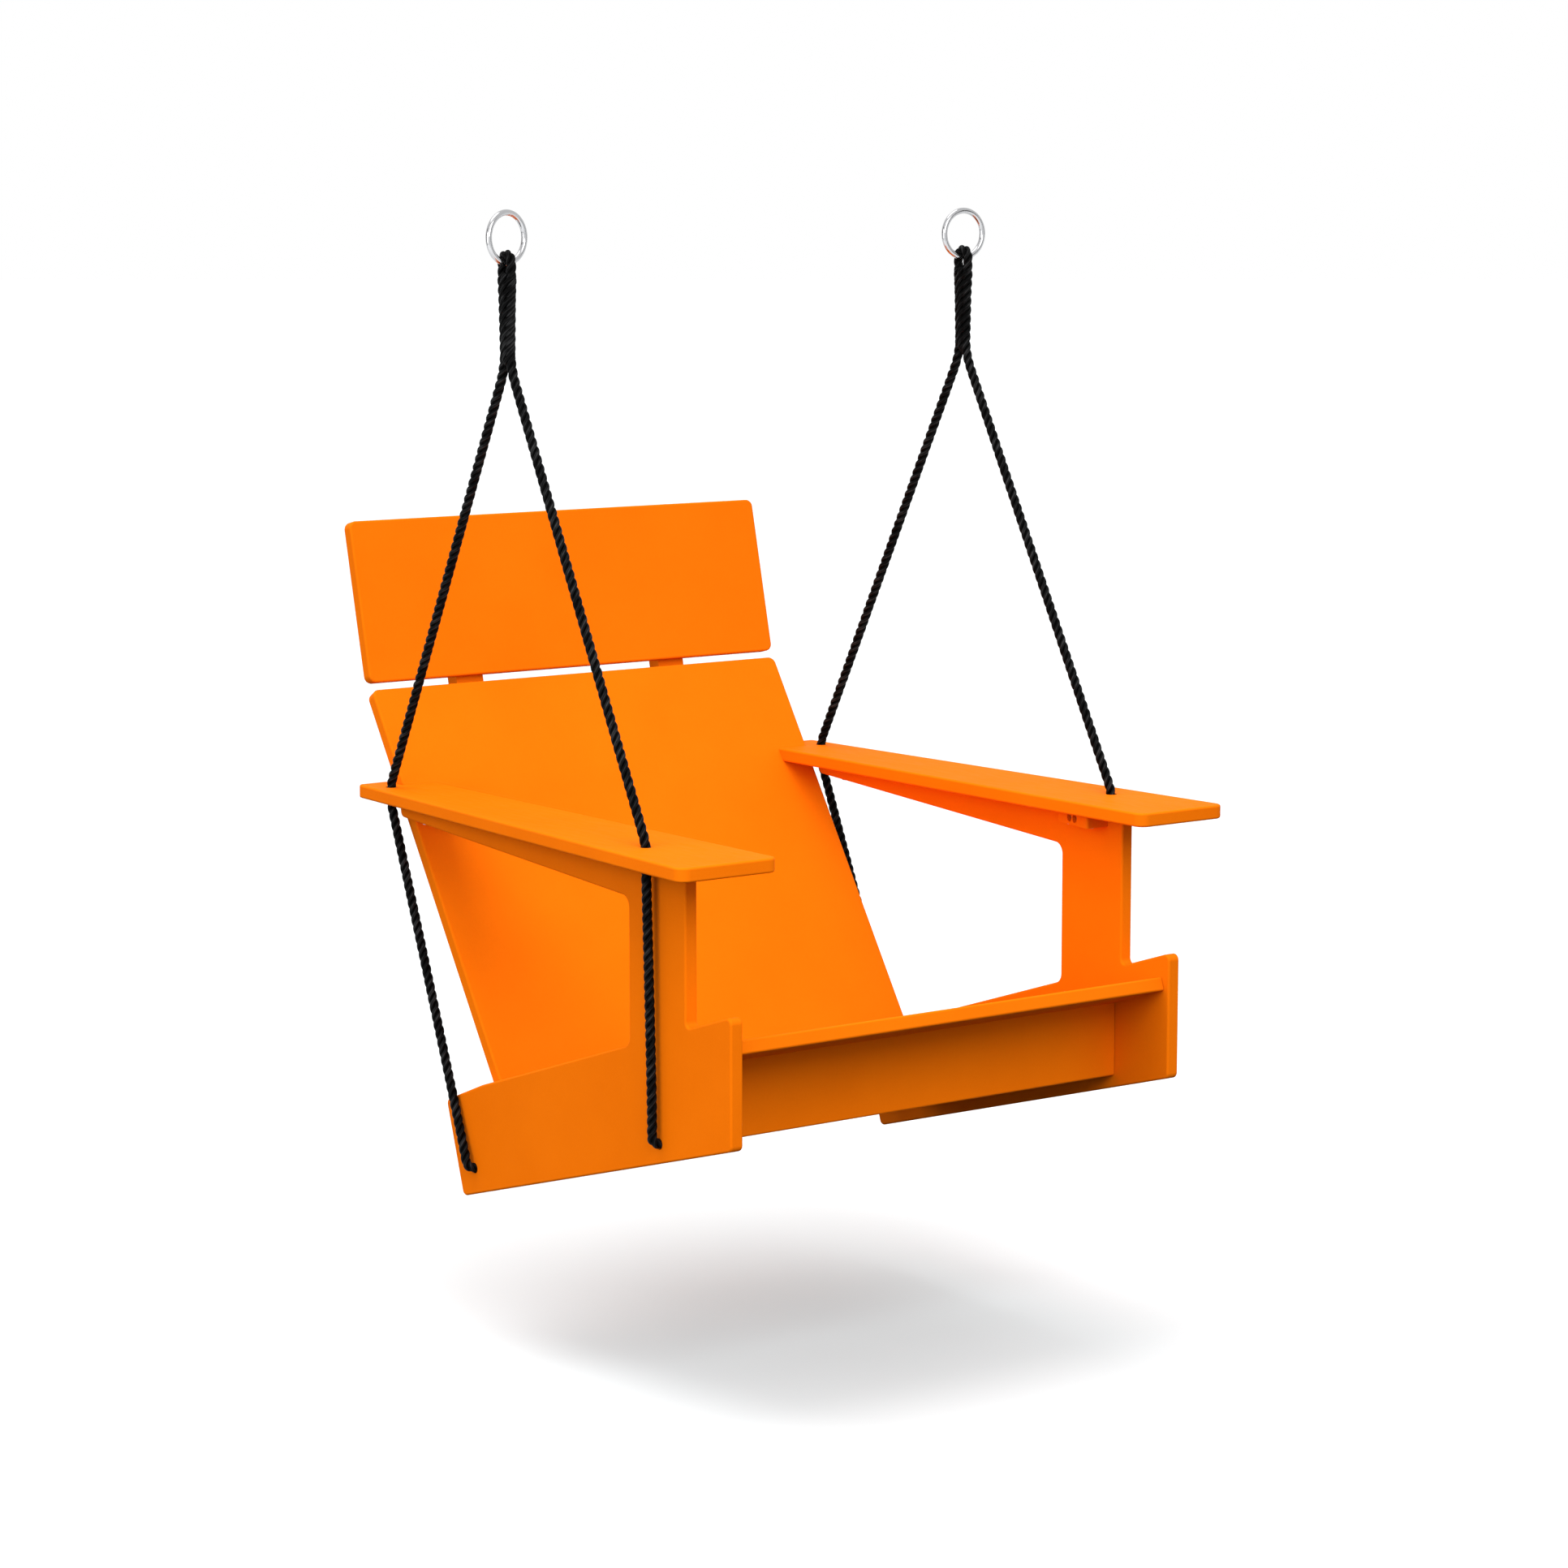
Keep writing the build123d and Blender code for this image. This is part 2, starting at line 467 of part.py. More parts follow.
# two legs and, between them, half a turn round the ring's wire
legs, rope_length = [], pi * EYE_R
for corners in rope_route():
    path = FilletPolyline(*[p for p, _ in corners], radius=[r for _, r in corners[1:-1]])
    start = path @ 0
    section = Plane(origin=start, z_dir=path % 0) * Circle(ROPE_R)
    legs.append(sweep(section, path=path, transition=Transition.ROUND))
    rope_length += path.length
    print("leg %.1f mm, arc radii %s" % (path.length, [r for _, r in corners[1:-1]]))
eye_axis = Axis((RING_X, 0, RING_BOTTOM_WIRE_Z), (1, 0, 0))
eye_section = Pos(RING_X, -EYE_R, RING_BOTTOM_WIRE_Z) * Circle(ROPE_R)
eye = revolve(eye_section, axis=eye_axis, revolution_arc=-180)
rope = legs[0] + eye + legs[1]
print("rope length %.1f mm, arc over the wire %.1f" % (rope_length, EYE_R))
print("rope volume / (section x length) = %.5f" % (rope.volume / (rope_length * pi * ROPE_R ** 2)))

# the sleeve's height, and how far it stands out beyond the two ropes along Y and along X
splice_sections = [(SPLICE_BOTTOM_Z, 0.8, 2.2), (SPLICE_TOP_Z - 52, 1.8, 2.8), (SPLICE_TOP_Z, 4.2, 3.2)]
splice = loft([Plane(origin=(RING_X, 0, z), x_dir=X, z_dir=(0, 0, 1)) * Ellipse(
    ROPE_R + out_x, STEM_HALF_GAP + ROPE_R + out_y) for z, out_y, out_x in splice_sections])
splice = splice - rope

knot_places = {"front": LOW_HOLE_FRONT, "rear": LOW_HOLE_REAR}
for name, side in SIDES.items():
    nodes["rope_" + name] = mirrored(rope, side)
    nodes["rope_splice_" + name] = mirrored(splice, side)
    for end, (y, z) in knot_places.items():
        ball = Pos(PANEL_IN - KNOT_IN, y, z + KNOT_RISE[end]) * Sphere(KNOT_R)
        ball = ball - Pos(PANEL_IN + BIG / 2, y, z) * Box(BIG, 100, 100)
        tail = rod((PANEL_IN - KNOT_IN, y, z), -X, KNOT_TAIL - KNOT_IN, ROPE_R)
        nodes["rope_knot_%s_%s" % (end, name)] = mirrored(ball + tail, side)

# ------------------------------------------------------------------ rings
for name, side in SIDES.items():
    ring = Pos(side * RING_X, 0, RING_CENTRE_Z) * Rot(0, 0, RING_TURN[name]) * Rot(90, 0, 0) * Torus(
        RING_R, WIRE_D / 2)
    nodes["ring_" + name] = ring

# ------------------------------------------------------------------ export
os.makedirs("parts", exist_ok=True)
to_origin = Pos(RING_X, 0, -HANG_Z)
for name, shape in nodes.items():
    placed = to_origin * shape
    placed.label = name
    export_step(placed, "parts/%s.step" % name)
print("%d nodes" % len(nodes))
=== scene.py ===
"""Looks of the hanging lounge chair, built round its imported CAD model. Metres, in the part's frame:
the origin is the inside of the left ring's top, +X runs to the right ring, -Y is the way the chair faces."""

import math

import bpy
import numpy as np
from mathutils import Euler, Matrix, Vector


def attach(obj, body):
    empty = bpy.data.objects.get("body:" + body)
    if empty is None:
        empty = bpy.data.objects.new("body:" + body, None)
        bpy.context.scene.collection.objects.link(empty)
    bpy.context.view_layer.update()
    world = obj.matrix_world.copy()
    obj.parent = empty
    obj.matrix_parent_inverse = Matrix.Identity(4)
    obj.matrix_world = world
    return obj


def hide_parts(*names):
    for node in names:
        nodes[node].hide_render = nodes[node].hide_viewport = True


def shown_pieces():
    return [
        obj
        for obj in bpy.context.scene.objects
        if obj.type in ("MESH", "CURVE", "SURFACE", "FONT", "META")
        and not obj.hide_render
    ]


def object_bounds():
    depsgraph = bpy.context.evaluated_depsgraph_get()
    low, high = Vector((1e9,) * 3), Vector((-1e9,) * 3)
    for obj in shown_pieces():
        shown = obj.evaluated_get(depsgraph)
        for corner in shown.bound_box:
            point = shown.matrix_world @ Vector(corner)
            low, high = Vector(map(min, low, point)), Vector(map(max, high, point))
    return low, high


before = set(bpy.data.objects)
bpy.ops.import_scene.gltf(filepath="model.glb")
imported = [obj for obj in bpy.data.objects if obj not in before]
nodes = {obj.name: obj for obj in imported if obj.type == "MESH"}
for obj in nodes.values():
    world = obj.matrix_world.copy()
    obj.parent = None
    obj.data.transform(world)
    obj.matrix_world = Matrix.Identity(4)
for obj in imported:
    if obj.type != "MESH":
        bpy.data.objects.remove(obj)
cad_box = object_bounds()
scene = bpy.context.scene

# ---------------------------------------------------------------------------------------------- sizes
RING_X = 0.3237        # centre plane of the chair to either ring
HANG_Z = 0.6855        # underside of the armrests to the inside of the rings' tops
ROPE_D = 0.010
STRANDS = 3
STRAND_R = 0.312       # a strand's radius, and its distance from the rope's middle, as shares of
STRAND_OUT = 0.258     # the rope's diameter
STRAND_PITCH = 0.0106  # from one strand to the next along the rope
YARN_TURNS = 22.0      # turns of the yarn round a strand in a metre
YARNS = 7              # yarns side by side round a strand
KNOT_D = ROPE_D * 0.94   # drawn up in a knot, the rope is a little thinner
PANEL_IN = 0.300       # centre plane to the side panels' inner faces
LOW_HOLES = {"front": (-0.277, -0.311), "rear": (0.100, -0.411)}   # Y and height, in the side panels
FLOOR_Z = -1.31
SIDES = {"left": -1, "right": 1}


def spot(side, x, y, z):
    """A point given from the centre plane and the armrests' underside, in the part's frame."""
    return Vector((RING_X + SIDES[side] * x, y, z - HANG_Z))


# --------------------------------------------------------------------------------------------- camera
camera_data = bpy.data.cameras.new("camera")
camera_data.lens, camera_data.sensor_width = 94.58, 36.0
camera_data.clip_end = 60.0
camera = bpy.data.objects.new("camera", camera_data)
camera.location = (-2.4776, -3.8726, 0.0309)
camera.rotation_euler = Euler((math.radians(90 - 8.24), 0, math.radians(-36.43)))
scene.collection.objects.link(camera)
scene.camera = camera


# ------------------------------------------------------------------------------------------ mesh tools
def new_object(name, verts, faces, uvs=None, ridge=None):
    """A smooth-shaded mesh object. uvs holds one (u, v) for each corner of each face, and ridge one number
    for each point: how far out on its rope it lies."""
    mesh = bpy.data.meshes.new(name)
    mesh.from_pydata([tuple(v) for v in verts], [], [tuple(f) for f in faces])
    if uvs is not None:
        layer = mesh.uv_layers.new(name="yarn")
        layer.data.foreach_set("uv", np.asarray(uvs, np.float32).ravel())
        # the ridge numbers also drive the rope's painted highlight, lighter on the strands' outer ridges
        ridge_highlight = mesh.attributes.new("ridge", "FLOAT", "POINT")
        ridge_highlight.data.foreach_set("value", np.asarray(ridge, np.float32))
    mesh.polygons.foreach_set("use_smooth", np.ones(len(mesh.polygons), bool))
    mesh.update()
    made = bpy.data.objects.new(name, mesh)
    scene.collection.objects.link(made)
    return made


def spline_points(name, points):
    """Points read off the smooth NURBS line that has these control points."""
    data = bpy.data.curves.new(name, "CURVE")
    data.dimensions, data.resolution_u = "3D", 40
    line = data.splines.new("NURBS")
    line.points.add(len(points) - 1)
    for p, co in zip(line.points, points):
        p.co = (*co, 1.0)
    line.order_u, line.use_endpoint_u = 3, True
    carrier = bpy.data.objects.new(name, data)
    scene.collection.objects.link(carrier)
    bpy.context.view_layer.update()
    graph = bpy.context.evaluated_depsgraph_get()
    mesh = bpy.data.meshes.new_from_object(carrier.evaluated_get(graph))
    found = np.array([v.co for v in mesh.vertices], float)
    bpy.data.meshes.remove(mesh)
    bpy.data.objects.remove(carrier)
    return found


def even(points, step):
    """The same line with its points a step apart, and the distance along it of each."""
    run = np.concatenate([[0], np.cumsum(np.linalg.norm(np.diff(points, axis=0), axis=1))])
    along = np.linspace(0, run[-1], max(2, int(round(run[-1] / step)) + 1))
    return np.stack([np.interp(along, run, points[:, k]) for k in range(3)], axis=1), along


def frames(points):
    """Tangents and two normals at each point, carried along the line without twist."""
    tangent = np.gradient(points, axis=0)
    tangent /= np.linalg.norm(tangent, axis=1)[:, None]
    first = np.cross(tangent[0], (0, 0, 1) if abs(tangent[0][2]) < 0.8 else (1, 0, 0))
    normals = [first / np.linalg.norm(first)]
    for t in tangent[1:]:
        n = normals[-1] - t * np.dot(normals[-1], t)
        normals.append(n / np.linalg.norm(n))
    normals = np.array(normals)
    return tangent, normals, np.cross(tangent, normals)


def tube(points, radii, sides, turn, hub, verts, faces, uvs, ridge):
    """Adds a closed tube along the points. turn is how far its sides are wound at each point, so that
    the yarn pattern runs round it, and hub is the rope's middle at each point."""
    tangent, n, b = frames(points)
    base, count = len(verts), len(points)
    angle = np.linspace(0, 2 * np.pi, sides, endpoint=False)
    ring = np.cos(angle)[None, :, None] * n[:, None, :] + np.sin(angle)[None, :, None] * b[:, None, :]
    skin = points[:, None, :] + ring * radii[:, None, None]
    verts.extend(skin.reshape(-1, 3))
    out = np.linalg.norm(skin - hub[:, None, :], axis=2) - np.linalg.norm(points - hub, axis=1)[:, None]
    ridge.extend((out / radii[:, None]).ravel())
    run = np.concatenate([[0], np.cumsum(np.linalg.norm(np.diff(points, axis=0), axis=1))])
    for i in range(count - 1):
        for k in range(sides):
            m = (k + 1) % sides
            faces.append((base + i * sides + k, base + i * sides + m,
                          base + (i + 1) * sides + m, base + (i + 1) * sides + k))
            a, c = k / sides, (k + 1) / sides
            uvs.extend([(run[i] * 100, a + turn[i]), (run[i] * 100, c + turn[i]),
                        (run[i + 1] * 100, c + turn[i + 1]), (run[i + 1] * 100, a + turn[i + 1])])
    for i, way in ((0, -1), (count - 1, 1)):
        verts.append(points[i] + tangent[i] * radii[i] * 0.5 * way)
        ridge.append(0.0)
        tip = len(verts) - 1
        for k in range(sides):
            m = (k + 1) % sides
            edge = (base + i * sides + k, base + i * sides + m)
            faces.append((edge[0], edge[1], tip) if way > 0 else (edge[1], edge[0], tip))
            uvs.extend([(run[i] * 100, k / sides), (run[i] * 100, (k + 1) / sides), (run[i] * 100, 0.5)])


def laid_rope(name, line, diameter, start_angle=0.0, step=0.0013, sides=12):
    """A right-laid rope of three strands along a line."""
    points, along = even(line, step)
    _, n, b = frames(points)
    radii, offset = np.full(len(points), STRAND_R * diameter), STRAND_OUT * diameter
    verts, faces, uvs, ridge = [], [], [], []
    for s in range(STRANDS):
        angle = start_angle + 2 * np.pi * (s / STRANDS + along / (STRANDS * STRAND_PITCH))
        centre = points + offset * (np.cos(angle)[:, None] * n + np.sin(angle)[:, None] * b)
        tube(centre, radii, sides, -along * YARN_TURNS, points, verts, faces, uvs, ridge)
    return new_object(name, verts, faces, uvs, ridge)


# --------------------------------------------------------------------------------------------- cords
# Each rope starts at the front low hole, on the panel's inner face, turns up outside the panel, passes
# the armrest, runs to the ring and over its wire, and comes down the same way to the rear low hole.
ROUTE = [(0.3000, -0.2770, -0.3110), (0.3260, -0.2770, -0.3142), (0.3244, -0.2768, -0.2870),
         (0.3290, -0.2742, -0.0250), (0.3294, -0.2740, -0.0030), (0.3294, -0.2740, 0.0190),
         (0.3292, -0.2636, 0.0384), (0.3241, -0.0252, 0.4830), (0.3237, -0.0054, 0.5200),
         (0.3237, -0.0054, 0.5620), (0.3237, -0.0089, 0.6200), (0.3237, -0.0089, 0.6429),
         (0.3237, 0.0089, 0.6429), (0.3237, 0.0089, 0.6200), (0.3237, 0.0054, 0.5620),
         (0.3237, 0.0054, 0.5200), (0.3232, 0.0252, 0.4830), (0.3175, 0.2636, 0.0384),
         (0.3173, 0.2740, 0.0190), (0.3173, 0.2740, -0.0030), (0.3176, 0.2654, -0.0232),
         (0.3236, 0.1094, -0.3889), (0.3260, 0.0995, -0.4142), (0.3000, 0.1000, -0.4110)]

ropes = {}
for side in SIDES:
    control = [spot(side, *p) for p in ROUTE]
    line = spline_points("route_" + side, control)
    rope = laid_rope("rope_strands_" + side, line, ROPE_D)
    ropes[side] = (rope, line, control)

# ------------------------------------------------------------------------------------- splices, knots
# Over the doubled part the strands of both legs are tucked round each other: six strands on an oval
# core that tapers downwards.
SPLICE_STRANDS = 6
SPLICE_LEVELS = [0.519, 0.524, 0.545, 0.590, 0.618, 0.6255]   # heights
SPLICE_DEPTH = [0.0094, 0.0112, 0.0117, 0.0130, 0.0149, 0.0132]   # half the oval along Y
SPLICE_WIDTH = [0.0064, 0.0072, 0.0076, 0.0080, 0.0084, 0.0070]   # half the oval along X
SPLICE_STRAND_R = 0.0033
SPLICE_YARN_TURNS = 18.0
SPLICE_TAPER = 0.006      # length over which a strand dives in at each end
OVAL_EVEN = 0.28          # evens out the strands' steps round the oval's edge


def splice(side):
    """The strands worked round the doubled part of one rope."""
    verts, faces, uvs, ridge = [], [], [], []
    heights = np.arange(SPLICE_LEVELS[0], SPLICE_LEVELS[-1], 0.0012)
    for s in range(SPLICE_STRANDS):
        # the strands don't all start and end at one height
        low, high = 0.0022 * ((s * 2) % 3), 0.0016 * ((s * 5) % 3)
        h = heights[(heights >= SPLICE_LEVELS[0] + low) & (heights <= SPLICE_LEVELS[-1] - high)]
        depth = np.interp(h, SPLICE_LEVELS, SPLICE_DEPTH) - SPLICE_STRAND_R
        width = np.interp(h, SPLICE_LEVELS, SPLICE_WIDTH) - SPLICE_STRAND_R
        t = 2 * np.pi * (s / SPLICE_STRANDS + h / (SPLICE_STRANDS * STRAND_PITCH))
        t = t - OVAL_EVEN * np.sin(2 * t)
        end = np.clip(np.minimum(h - h[0], h[-1] - h) / SPLICE_TAPER, 0, 1)
        tuck = 0.45 + 0.55 * np.sin(end * np.pi / 2)      # each end dives under its neighbours
        centre = np.stack([spot(side, RING_X, 0, 0)[0] + width * tuck * np.cos(t),
                           depth * tuck * np.sin(t), h - HANG_Z], axis=1)
        radii = SPLICE_STRAND_R * (0.55 + 0.45 * np.sin(end * np.pi / 2))
        middle = np.stack([np.full(len(h), centre[:, 0].mean()), np.zeros(len(h)), h - HANG_Z], axis=1)
        tube(centre, radii, 14, -h * SPLICE_YARN_TURNS, middle, verts, faces, uvs, ridge)
    return new_object("rope_splice_strands_" + side, verts, faces, uvs, ridge)


# An overhand knot's line: how far in from the panel's face, towards the rear, and up.
KNOT_LINE = [(0.000, 0.000, 0.000), (0.005, 0.000, 0.000), (0.011, -0.003, 0.001), (0.019, -0.008, 0.006),
             (0.021, -0.004, 0.013), (0.014, 0.004, 0.0135), (0.006, 0.009, 0.007), (0.005, 0.005, 0.0005),
             (0.011, -0.002, -0.002), (0.018, -0.001, 0.004), (0.018, 0.007, 0.009), (0.012, 0.008, 0.011),
             (0.010, 0.001, 0.009), (0.016, -0.005, 0.004), (0.026, -0.005, 0.001), (0.036, -0.003, -0.001)]


def stopper_knot(side, which, y, z):
    """A knot drawn up against the panel's inner face, with a short tail."""
    control = [spot(side, PANEL_IN - inwards, y + back, z + up) for inwards, back, up in KNOT_LINE]
    return laid_rope("rope_knot_strands_%s_%s" % (which, side), spline_points("knot", control), KNOT_D)


for side in SIDES:
    rope, line, control = ropes[side]
    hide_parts("rope_" + side)
    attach(rope, "chair")
    worked = splice(side)
    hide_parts("rope_splice_" + side)
    on_rope = [worked]
    for which, (y, z) in LOW_HOLES.items():
        knot = stopper_knot(side, which, y, z)
        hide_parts("rope_knot_%s_%s" % (which, side))
        on_rope.append(knot)
    for piece in on_rope:
        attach(piece, "chair")


# ------------------------------------------------------------------------------------------ materials
class Nodes:
    """A small helper for building a material's nodes."""

    def __init__(self, name):
        self.material = bpy.data.materials.new(name)
        self.material.use_nodes = True
        self.tree = self.material.node_tree
        self.tree.nodes.clear()
        self.out = self.add("ShaderNodeOutputMaterial")
        self.shader = self.add("ShaderNodeBsdfPrincipled")
        self.link(self.shader.outputs[0], self.out.inputs[0])
        self.position = self.add("ShaderNodeTexCoord").outputs["Object"]

    def add(self, kind, **settings):
        node = self.tree.nodes.new(kind)
        for key, value in settings.items():
            setattr(node, key, value)
        return node

    def link(self, source, target):
        self.tree.links.new(source, target)

    def value(self, name, number):
        self.shader.inputs[name].default_value = number

    def scaled(self, source, size):
        node = self.add("ShaderNodeMapping")
        node.inputs["Scale"].default_value = size
        self.link(source, node.inputs["Vector"])
        return node.outputs[0]

    def noise(self, source, scale, detail=3.0, rough=0.5, distortion=0.0):
        node = self.add("ShaderNodeTexNoise")
        node.inputs["Scale"].default_value = scale
        node.inputs["Detail"].default_value = detail
        node.inputs["Roughness"].default_value = rough
        node.inputs["Distortion"].default_value = distortion
        self.link(source, node.inputs["Vector"])
        return node.outputs["Fac"]

    def remap(self, source, low, high, new_low, new_high):
        node = self.add("ShaderNodeMapRange")
        for key, number in (("From Min", low), ("From Max", high), ("To Min", new_low), ("To Max", new_high)):
            node.inputs[key].default_value = number
        self.link(source, node.inputs["Value"])
        return node.outputs[0]

    def maths(self, operation, a, b):
        node = self.add("ShaderNodeMath", operation=operation)
        for index, item in enumerate((a, b)):
            if isinstance(item, (int, float)):
                node.inputs[index].default_value = item
            else:
                self.link(item, node.inputs[index])
        return node.outputs[0]

    def ramp(self, source, stops):
        node = self.add("ShaderNodeValToRGB")
        bar = node.color_ramp
        while len(bar.elements) < len(stops):
            bar.elements.new(0.5)
        for element, (at, colour) in zip(bar.elements, stops):
            element.position, element.color = at, (*colour, 1.0)
        self.link(source, node.inputs["Fac"])
        return node.outputs["Color"]

    def bump(self, height, strength, distance, below=None):
        node = self.add("ShaderNodeBump")
        node.inputs["Strength"].default_value = strength
        node.inputs["Distance"].default_value = distance
        self.link(height, node.inputs["Height"])
        if below is not None:
            self.link(below, node.inputs["Normal"])
        return node.outputs["Normal"]

    def normal(self, source):
        self.link(source, self.shader.inputs["Normal"])


def board_material():
    """Solid-coloured plastic sheet: a fine pressed grain, faint clouding and a few dull scuffs."""
    m = Nodes("orange_sheet")
    cloud = m.noise(m.position, 7.0, 4.0, 0.55)
    speck = m.noise(m.position, 420.0, 2.0, 0.6)
    mixed = m.maths("ADD", m.maths("MULTIPLY", cloud, 0.75), m.maths("MULTIPLY", speck, 0.25))
    m.link(m.ramp(mixed, [(0.30, (0.785, 0.151, 0.0013)), (0.50, (0.815, 0.161, 0.0016)),
                          (0.72, (0.845, 0.171, 0.0020))]), m.shader.inputs["Base Color"])
    scuff = m.noise(m.scaled(m.position, (30.0, 6.0, 9.0)), 4.0, 5.0, 0.62, 0.3)
    rough = m.maths("ADD", m.remap(scuff, 0.35, 0.70, 0.56, 0.68), m.remap(speck, 0.3, 0.7, -0.03, 0.03))
    m.link(rough, m.shader.inputs["Roughness"])
    m.value("IOR", 1.49)
    m.value("Specular IOR Level", 0.015)
    pressed = m.bump(m.noise(m.position, 900.0, 2.0, 0.5), 0.10, 0.0004)
    m.normal(m.bump(m.noise(m.position, 26.0, 2.0, 0.4), 0.10, 0.0010, pressed))
    return m.material


def rope_material():
    """Black polyester: fine yarns wound the other way round each strand, with painted shade in the grooves
    between yarns and a painted highlight, a little grey, where the strands stand out."""
    m = Nodes("black_rope")
    uv = m.add("ShaderNodeUVMap", uv_map="yarn")
    split = m.add("ShaderNodeSeparateXYZ")
    m.link(uv.outputs[0], split.inputs[0])
    turn = m.maths("MULTIPLY", split.outputs[1], 2 * math.pi * YARNS)
    yarn = m.remap(m.maths("SINE", turn, 0.0), -1.0, 1.0, 0.0, 1.0)
    fibre = m.noise(m.position, 2600.0, 3.0, 0.6)
    fade = m.noise(m.position, 60.0, 3.0, 0.5)
    high = m.add("ShaderNodeAttribute", attribute_name="ridge").outputs["Fac"]
    # painted highlight: the colour is lightened on the strands' outer ridges, where light catches them, and
    # the noise makes it uneven along the rope
    ridge_highlight = m.maths("MULTIPLY", m.remap(high, 0.62, 0.98, 0.0, 1.0), m.remap(fade, 0.35, 0.65, 0.55, 1.0))
    # painted shade: the yarn wave makes the colour darker in the grooves between the yarns
    tone = m.maths("ADD", m.maths("MULTIPLY", yarn, 0.25), m.maths("MULTIPLY", ridge_highlight, 0.75))
    m.link(m.ramp(tone, [(0.15, (0.0002, 0.0002, 0.0002)), (0.45, (0.0012, 0.0012, 0.0013)),
                         (0.66, (0.0060, 0.0061, 0.0064)), (0.92, (0.0280, 0.0282, 0.0290))]),
           m.shader.inputs["Base Color"])
    m.link(m.remap(fibre, 0.3, 0.7, 0.34, 0.52), m.shader.inputs["Roughness"])
    m.value("Specular IOR Level", 0.03)
    m.normal(m.bump(fibre, 0.35, 0.0002, m.bump(yarn, 0.8, 0.0003)))
    return m.material


def steel_material(name, colour, rough, grain):
    """Polished or brushed stainless steel, with fine wiping marks."""
    m = Nodes(name)
    marks = m.noise(m.scaled(m.position, grain), 60.0, 4.0, 0.6)
    m.link(m.ramp(marks, [(0.25, tuple(c * 0.90 for c in colour)), (0.75, colour)]),
           m.shader.inputs["Base Color"])
    m.link(m.remap(marks, 0.3, 0.7, rough * 0.75, rough * 1.3), m.shader.inputs["Roughness"])
    m.value("Metallic", 1.0)
    m.normal(m.bump(m.noise(m.position, 3000.0, 2.0, 0.5), 0.05, 0.0001))
    return m.material


board = board_material()
black = rope_material()
ring_steel = steel_material("polished_ring", (0.50, 0.50, 0.51), 0.17, (40.0, 40.0, 200.0))
screw_steel = steel_material("screw_steel", (0.56, 0.56, 0.57), 0.30, (200.0, 200.0, 40.0))

for name, node in nodes.items():
    if name.startswith("ring"):
        chosen = ring_steel
    elif "screws" in name:
        chosen = screw_steel
    elif name.startswith("rope"):
        chosen = black
    else:
        chosen = board
    node.data.materials.clear()
    node.data.materials.append(chosen)
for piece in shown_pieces():
    if piece.name.startswith("rope"):
        piece.data.materials.clear()
        piece.data.materials.append(black)

# -------------------------------------------------------------------------------------- floor, lights
centre = (cad_box[0] + cad_box[1]) / 2
FLOOR_R = 60.0
FLOOR_SIDES = 48
rim = [(centre.x + FLOOR_R * math.cos(a), centre.y + FLOOR_R * math.sin(a), FLOOR_Z)
       for a in np.linspace(0, 2 * math.pi, FLOOR_SIDES, endpoint=False)]
floor = new_object("floor", [(centre.x, centre.y, FLOOR_Z)] + rim,
                   [(0, 1 + k, 1 + (k + 1) % FLOOR_SIDES) for k in range(FLOOR_SIDES)])
pale = Nodes("pale_floor")
pale.value("Base Color", (0.765, 0.776, 0.780, 1.0))
pale.link(pale.remap(pale.noise(pale.position, 30.0), 0.3, 0.7, 0.75, 0.85), pale.shader.inputs["Roughness"])
pale.value("Specular IOR Level", 0.0)
floor.data.materials.append(pale.material)
floor.visible_diffuse = False          # the floor takes the shadow, and throws little light back up

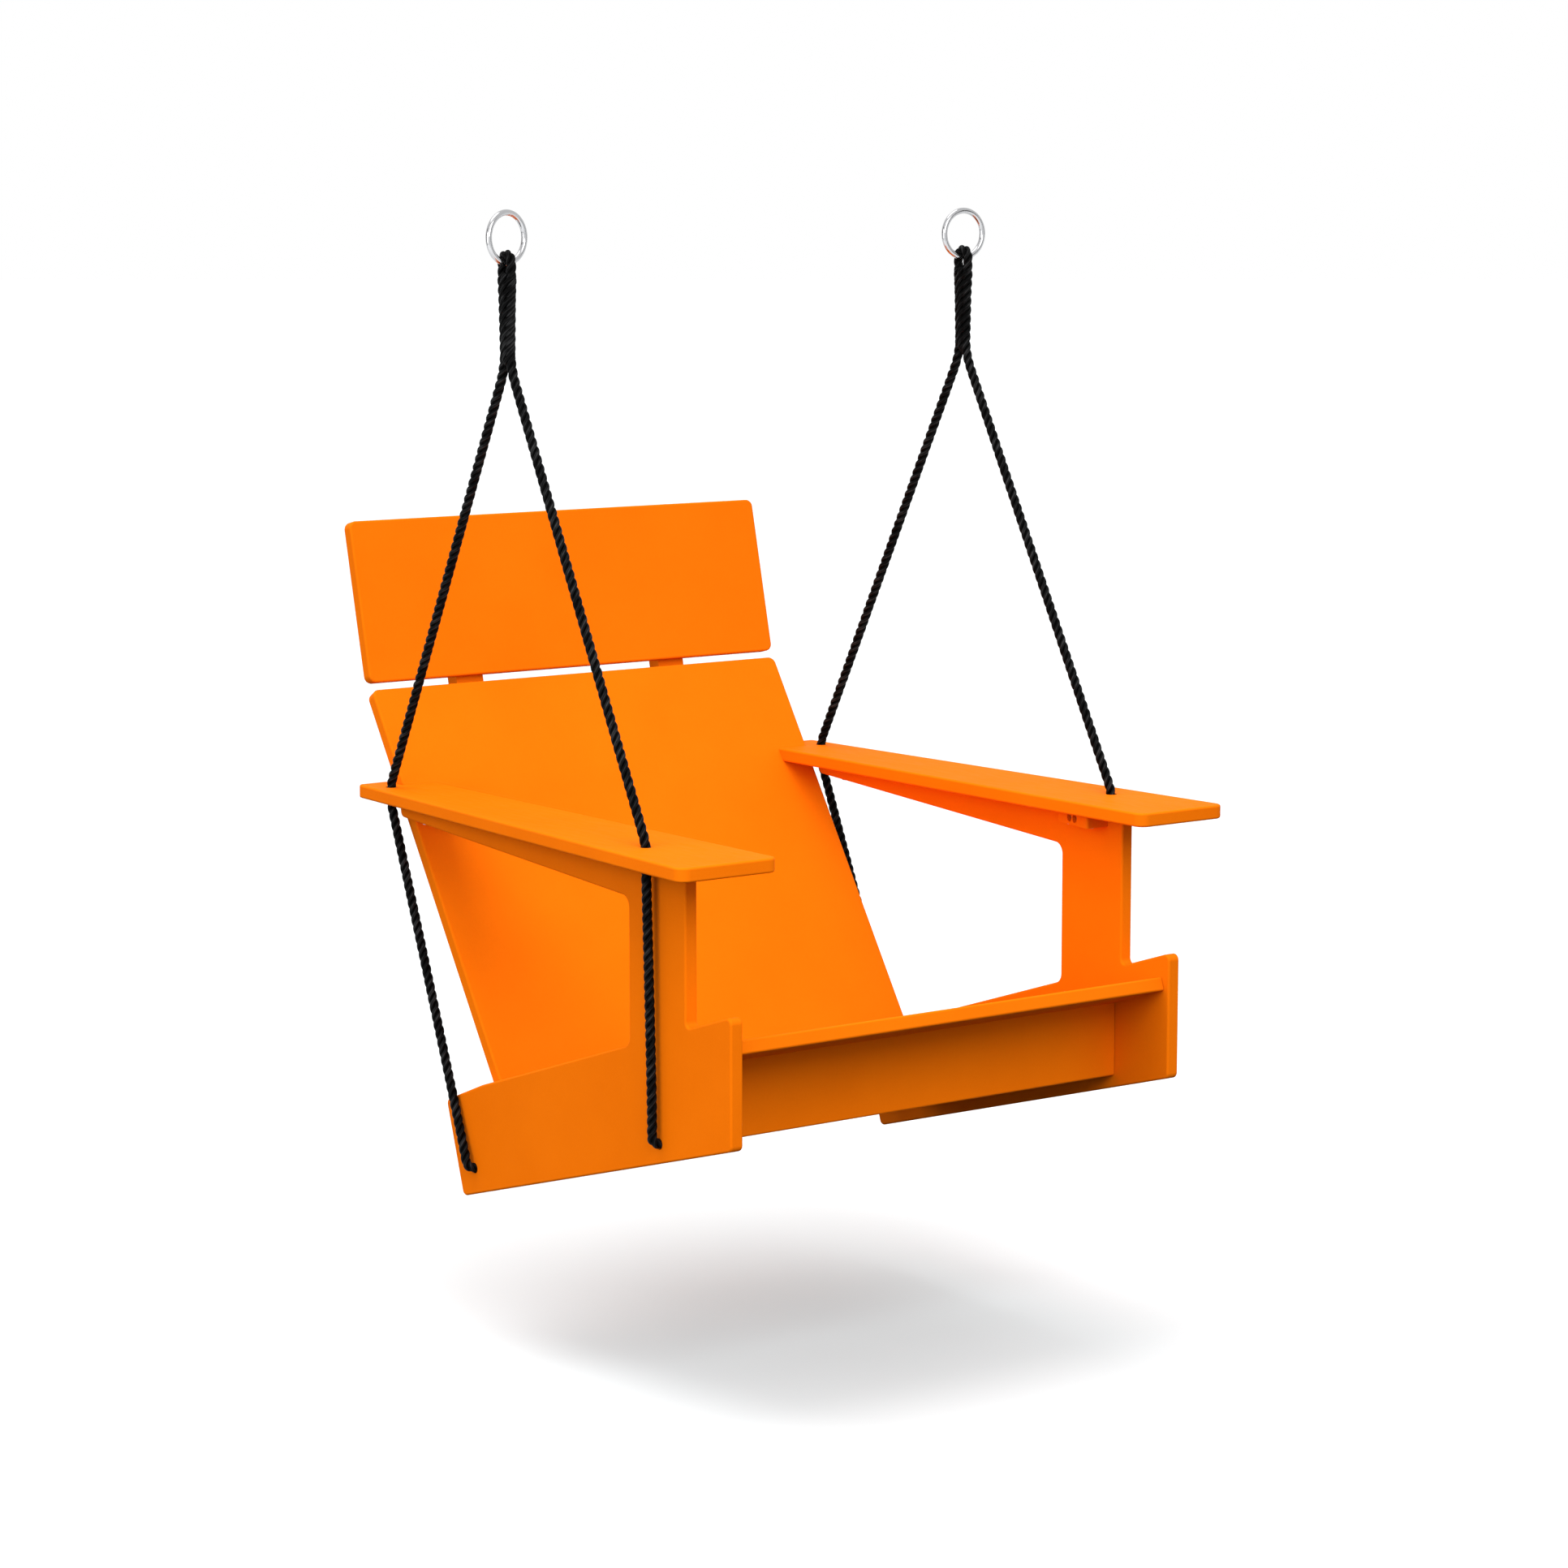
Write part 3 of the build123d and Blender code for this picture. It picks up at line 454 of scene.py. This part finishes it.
# a white studio all round, dark only where the light would come up through the floor
world = bpy.data.worlds.new("studio")
scene.world = world
world.use_nodes = True
sky = world.node_tree
direction = sky.nodes.new("ShaderNodeTexCoord")
axes = sky.nodes.new("ShaderNodeSeparateXYZ")
fade = sky.nodes.new("ShaderNodeMapRange")
sky.links.new(direction.outputs["Generated"], axes.inputs[0])
sky.links.new(axes.outputs["Z"], fade.inputs["Value"])
for key, number in (("From Min", -0.10), ("From Max", -0.03), ("To Min", 0.0), ("To Max", 1.0)):
    fade.inputs[key].default_value = number
sky.links.new(fade.outputs[0], sky.nodes["Background"].inputs["Strength"])
sky.nodes["Background"].inputs["Color"].default_value = (1.0, 1.0, 1.0, 1.0)


def light(name, kind, heading, power):
    """A light object and its data. heading is the way it shines."""
    data = bpy.data.lights.new(name, kind)
    data.energy = power
    lamp = bpy.data.objects.new(name, data)
    lamp.rotation_mode = "QUATERNION"
    lamp.rotation_quaternion = Vector(heading).to_track_quat("-Z", "Y")
    scene.collection.objects.link(lamp)
    return lamp, data


def area_light(name, offset, size, power):
    """A soft square light that points at the chair from an offset to its middle."""
    lamp, data = light(name, "AREA", -Vector(offset), power)
    data.shape, data.size = "SQUARE", size
    lamp.location = centre + Vector(offset)
    lamp.visible_camera = False


_, overhead = light("overhead", "SUN", (0.17, -0.15, -1.0), 1.6)
overhead.angle = math.radians(44)
area_light("front", (-0.9, -2.7, 1.6), 1.8, 58.0)
area_light("left", (-3.0, -0.7, 0.5), 1.8, 35.0)


def dark_card(name, offset, width, height):
    """A dark board beside the set that only reflections see, so that polished steel reads as steel."""
    side = Vector(offset).cross((0, 0, 1)).normalized() * width / 2
    up = Vector((0, 0, height / 2))
    middle = centre + Vector(offset)
    card = new_object(name, [middle - side - up, middle + side - up, middle + side + up, middle - side + up],
                      [(0, 1, 2, 3)])
    felt = Nodes(name)
    nap = felt.noise(felt.position, 40.0)
    felt.link(felt.ramp(nap, [(0.3, (0.010, 0.010, 0.010)), (0.7, (0.016, 0.016, 0.016))]),
              felt.shader.inputs["Base Color"])
    felt.value("Roughness", 0.95)
    felt.value("Specular IOR Level", 0.0)
    card.data.materials.append(felt.material)
    card.visible_camera = card.visible_diffuse = card.visible_shadow = card.visible_transmission = False


dark_card("dark_card_left", (-2.9, 1.5, 0.6), 1.7, 3.0)
dark_card("dark_card_right", (2.2, -2.9, 0.2), 0.7, 2.4)
scene.view_settings.view_transform = "Standard"
